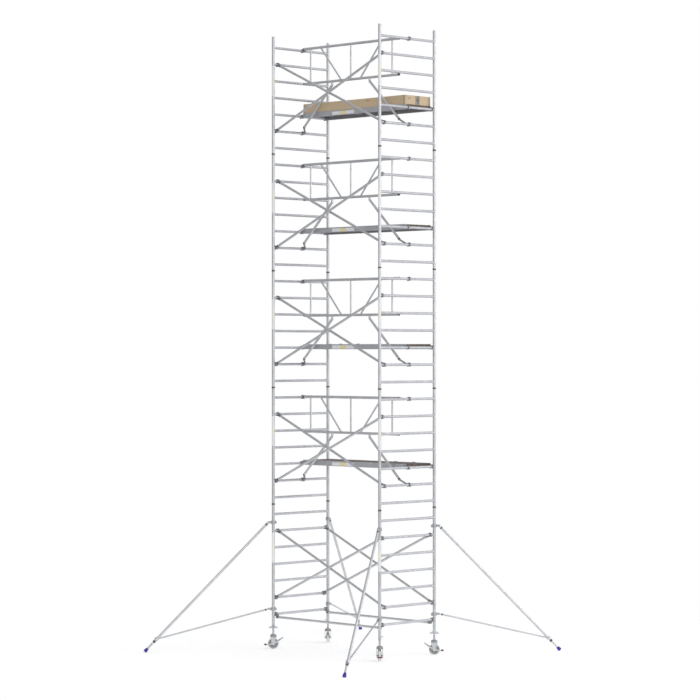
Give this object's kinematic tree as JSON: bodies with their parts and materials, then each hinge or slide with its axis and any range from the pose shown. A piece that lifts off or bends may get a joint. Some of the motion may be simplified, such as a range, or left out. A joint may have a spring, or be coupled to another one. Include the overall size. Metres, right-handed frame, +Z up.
{
  "type": "mobile scaffold tower",
  "caption": "Mobile aluminium scaffold tower with stacked ladder frames, braces, hatch platforms, guardrails, toe boards, braked castors and stabilisers.",
  "frame": {"origin": "on the ground, under the middle of the tower", "axes": "+Z up; +X along the bay, from the left to the right end frames; +Y from the front, where the guardrails' open side is, to the back"},
  "size_m": [4.7622, 5.1428, 10.285],
  "materials": {
    "frame_aluminium": "satin extruded tube",
    "brace_aluminium": "satin extruded tube",
    "platform_aluminium": "mill finish",
    "deck_board": "dark film-faced plywood",
    "toe_board": "planed pale wood",
    "zinc_steel": "zinc plated",
    "castor_tyre": "grey non-marking tread",
    "brake_paint": "red paint",
    "foot_rubber": "moulded blue rubber"
  },
  "bodies": {
    "tower": {"frame_1_left": "frame_aluminium", "frame_1_right": "frame_aluminium", "frame_2_left": "frame_aluminium", "frame_2_right": "frame_aluminium", "frame_3_left": "frame_aluminium", "frame_3_right": "frame_aluminium", "frame_4_left": "frame_aluminium", "frame_4_right": "frame_aluminium", "frame_5_left": "frame_aluminium", "frame_5_right": "frame_aluminium", "braces_front_rising": "brace_aluminium", "braces_front_falling": "brace_aluminium", "braces_back": "brace_aluminium", "horizontal_braces": "brace_aluminium", "platform_frame_2": "platform_aluminium", "platform_frame_3": "platform_aluminium", "platform_frame_4": "platform_aluminium", "platform_frame_5": "platform_aluminium", "platform_deck_2": "deck_board", "platform_deck_3": "deck_board", "platform_deck_4": "deck_board", "platform_deck_5": "deck_board", "guardrail_2": "brace_aluminium", "guardrail_3": "brace_aluminium", "guardrail_4": "brace_aluminium", "guardrail_5": "brace_aluminium", "toe_boards_long": "toe_board", "toe_boards_end": "toe_board"},
    "hatch_2": {"hatch_2": "deck_board"},
    "hatch_3": {"hatch_3": "deck_board"},
    "hatch_4": {"hatch_4": "deck_board"},
    "hatch_5": {"hatch_5": "deck_board"},
    "jack_spindle_front_left": {"jack_spindle_front_left": "zinc_steel"},
    "jack_nut_front_left": {"jack_nut_front_left": "zinc_steel"},
    "castor_fork_front_left": {"castor_fork_front_left": "zinc_steel"},
    "castor_wheel_front_left": {"castor_wheel_front_left": "castor_tyre"},
    "brake_lever_front_left": {"brake_lever_front_left": "brake_paint"},
    "stabiliser_front_left": {"stabiliser_front_left": "brace_aluminium"},
    "stabiliser_foot_front_left": {"stabiliser_foot_front_left": "foot_rubber"},
    "jack_spindle_front_right": {"jack_spindle_front_right": "zinc_steel"},
    "jack_nut_front_right": {"jack_nut_front_right": "zinc_steel"},
    "castor_fork_front_right": {"castor_fork_front_right": "zinc_steel"},
    "castor_wheel_front_right": {"castor_wheel_front_right": "castor_tyre"},
    "brake_lever_front_right": {"brake_lever_front_right": "brake_paint"},
    "stabiliser_front_right": {"stabiliser_front_right": "brace_aluminium"},
    "stabiliser_foot_front_right": {"stabiliser_foot_front_right": "foot_rubber"},
    "jack_spindle_back_left": {"jack_spindle_back_left": "zinc_steel"},
    "jack_nut_back_left": {"jack_nut_back_left": "zinc_steel"},
    "castor_fork_back_left": {"castor_fork_back_left": "zinc_steel"},
    "castor_wheel_back_left": {"castor_wheel_back_left": "castor_tyre"},
    "brake_lever_back_left": {"brake_lever_back_left": "brake_paint"},
    "stabiliser_back_left": {"stabiliser_back_left": "brace_aluminium"},
    "stabiliser_foot_back_left": {"stabiliser_foot_back_left": "foot_rubber"},
    "jack_spindle_back_right": {"jack_spindle_back_right": "zinc_steel"},
    "jack_nut_back_right": {"jack_nut_back_right": "zinc_steel"},
    "castor_fork_back_right": {"castor_fork_back_right": "zinc_steel"},
    "castor_wheel_back_right": {"castor_wheel_back_right": "castor_tyre"},
    "brake_lever_back_right": {"brake_lever_back_right": "brake_paint"},
    "stabiliser_back_right": {"stabiliser_back_right": "brace_aluminium"},
    "stabiliser_foot_back_right": {"stabiliser_foot_back_right": "foot_rubber"}
  },
  "joints": [
    {"name": "hatch_2_hinge", "type": "hinge", "parent": "tower", "child": "hatch_2", "pos_m": [0.65, 0.565, 3.163], "axis": [-1, 0, 0], "range_deg": [0, 95]},
    {"name": "hatch_3_hinge", "type": "hinge", "parent": "tower", "child": "hatch_3", "pos_m": [-0.65, 0.565, 5.123], "axis": [-1, 0, 0], "range_deg": [0, 95]},
    {"name": "hatch_4_hinge", "type": "hinge", "parent": "tower", "child": "hatch_4", "pos_m": [0.65, 0.565, 7.083], "axis": [-1, 0, 0], "range_deg": [0, 95]},
    {"name": "hatch_5_hinge", "type": "hinge", "parent": "tower", "child": "hatch_5", "pos_m": [-0.65, 0.565, 9.043], "axis": [-1, 0, 0], "range_deg": [0, 95]},
    {"name": "jack_front_left_nut", "type": "hinge", "parent": "tower", "child": "jack_nut_front_left", "pos_m": [-1.25, -0.6435, 0.415], "axis": [0, 0, 1], "range_deg": [0, 8640]},
    {"name": "jack_front_left_slide", "type": "slide", "parent": "tower", "child": "jack_spindle_front_left", "axis": [0, 0, -1], "range_m": [0, 0.192]},
    {"name": "castor_front_left_swivel", "type": "hinge", "parent": "jack_spindle_front_left", "child": "castor_fork_front_left", "pos_m": [-1.25, -0.6435, 0.22], "axis": [0, 0, 1], "continuous": true},
    {"name": "castor_front_left_wheel", "type": "hinge", "parent": "castor_fork_front_left", "child": "castor_wheel_front_left", "pos_m": [-1.25, -0.6435, 0.09], "axis": [0.7071, -0.7071, 0], "continuous": true},
    {"name": "brake_front_left_pedal", "type": "hinge", "parent": "castor_fork_front_left", "child": "brake_lever_front_left", "pos_m": [-1.25, -0.6435, 0.09], "axis": [0.7071, -0.7071, 0], "range_deg": [0, 10]},
    {"name": "stabiliser_front_left_swing", "type": "hinge", "parent": "tower", "child": "stabiliser_front_left", "pos_m": [-1.25, -0.6435, 0.67], "axis": [0, 0, -1], "range_deg": [-30, 60]},
    {"name": "stabiliser_front_left_extension", "type": "slide", "parent": "stabiliser_front_left", "child": "stabiliser_foot_front_left", "axis": [-0.3536, -0.6124, -0.7071], "range_m": [0, 0.5]},
    {"name": "jack_front_right_nut", "type": "hinge", "parent": "tower", "child": "jack_nut_front_right", "pos_m": [1.25, -0.6435, 0.415], "axis": [0, 0, 1], "range_deg": [0, 8640]},
    {"name": "jack_front_right_slide", "type": "slide", "parent": "tower", "child": "jack_spindle_front_right", "axis": [0, 0, -1], "range_m": [0, 0.192]},
    {"name": "castor_front_right_swivel", "type": "hinge", "parent": "jack_spindle_front_right", "child": "castor_fork_front_right", "pos_m": [1.25, -0.6435, 0.22], "axis": [0, 0, 1], "continuous": true},
    {"name": "castor_front_right_wheel", "type": "hinge", "parent": "castor_fork_front_right", "child": "castor_wheel_front_right", "pos_m": [1.25, -0.6435, 0.09], "axis": [0.7071, 0.7071, 0], "continuous": true},
    {"name": "brake_front_right_pedal", "type": "hinge", "parent": "castor_fork_front_right", "child": "brake_lever_front_right", "pos_m": [1.25, -0.6435, 0.09], "axis": [0.7071, 0.7071, 0], "range_deg": [0, 10]},
    {"name": "stabiliser_front_right_swing", "type": "hinge", "parent": "tower", "child": "stabiliser_front_right", "pos_m": [1.25, -0.6435, 0.67], "axis": [0, 0, 1], "range_deg": [-30, 60]},
    {"name": "stabiliser_front_right_extension", "type": "slide", "parent": "stabiliser_front_right", "child": "stabiliser_foot_front_right", "axis": [0.3536, -0.6124, -0.7071], "range_m": [0, 0.5]},
    {"name": "jack_back_left_nut", "type": "hinge", "parent": "tower", "child": "jack_nut_back_left", "pos_m": [-1.25, 0.6435, 0.415], "axis": [0, 0, 1], "range_deg": [0, 8640]},
    {"name": "jack_back_left_slide", "type": "slide", "parent": "tower", "child": "jack_spindle_back_left", "axis": [0, 0, -1], "range_m": [0, 0.192]},
    {"name": "castor_back_left_swivel", "type": "hinge", "parent": "jack_spindle_back_left", "child": "castor_fork_back_left", "pos_m": [-1.25, 0.6435, 0.22], "axis": [0, 0, 1], "continuous": true},
    {"name": "castor_back_left_wheel", "type": "hinge", "parent": "castor_fork_back_left", "child": "castor_wheel_back_left", "pos_m": [-1.25, 0.6435, 0.09], "axis": [-0.7071, -0.7071, 0], "continuous": true},
    {"name": "brake_back_left_pedal", "type": "hinge", "parent": "castor_fork_back_left", "child": "brake_lever_back_left", "pos_m": [-1.25, 0.6435, 0.09], "axis": [-0.7071, -0.7071, 0], "range_deg": [0, 10]},
    {"name": "stabiliser_back_left_swing", "type": "hinge", "parent": "tower", "child": "stabiliser_back_left", "pos_m": [-1.25, 0.6435, 0.67], "axis": [0, 0, 1], "range_deg": [-30, 60]},
    {"name": "stabiliser_back_left_extension", "type": "slide", "parent": "stabiliser_back_left", "child": "stabiliser_foot_back_left", "axis": [-0.3536, 0.6124, -0.7071], "range_m": [0, 0.5]},
    {"name": "jack_back_right_nut", "type": "hinge", "parent": "tower", "child": "jack_nut_back_right", "pos_m": [1.25, 0.6435, 0.415], "axis": [0, 0, 1], "range_deg": [0, 8640]},
    {"name": "jack_back_right_slide", "type": "slide", "parent": "tower", "child": "jack_spindle_back_right", "axis": [0, 0, -1], "range_m": [0, 0.192]},
    {"name": "castor_back_right_swivel", "type": "hinge", "parent": "jack_spindle_back_right", "child": "castor_fork_back_right", "pos_m": [1.25, 0.6435, 0.22], "axis": [0, 0, 1], "continuous": true},
    {"name": "castor_back_right_wheel", "type": "hinge", "parent": "castor_fork_back_right", "child": "castor_wheel_back_right", "pos_m": [1.25, 0.6435, 0.09], "axis": [-0.7071, 0.7071, 0], "continuous": true},
    {"name": "brake_back_right_pedal", "type": "hinge", "parent": "castor_fork_back_right", "child": "brake_lever_back_right", "pos_m": [1.25, 0.6435, 0.09], "axis": [-0.7071, 0.7071, 0], "range_deg": [0, 10]},
    {"name": "stabiliser_back_right_swing", "type": "hinge", "parent": "tower", "child": "stabiliser_back_right", "pos_m": [1.25, 0.6435, 0.67], "axis": [0, 0, -1], "range_deg": [-30, 60]},
    {"name": "stabiliser_back_right_extension", "type": "slide", "parent": "stabiliser_back_right", "child": "stabiliser_foot_back_right", "axis": [0.3536, 0.6124, -0.7071], "range_m": [0, 0.5]}
  ],
  "couplings": [
    {"joint": "jack_front_left_nut", "follows": "jack_front_left_slide", "rad_per_m": 785.4},
    {"joint": "jack_front_right_nut", "follows": "jack_front_right_slide", "rad_per_m": 785.4},
    {"joint": "jack_back_left_nut", "follows": "jack_back_left_slide", "rad_per_m": 785.4},
    {"joint": "jack_back_right_nut", "follows": "jack_back_right_slide", "rad_per_m": 785.4}
  ]
}
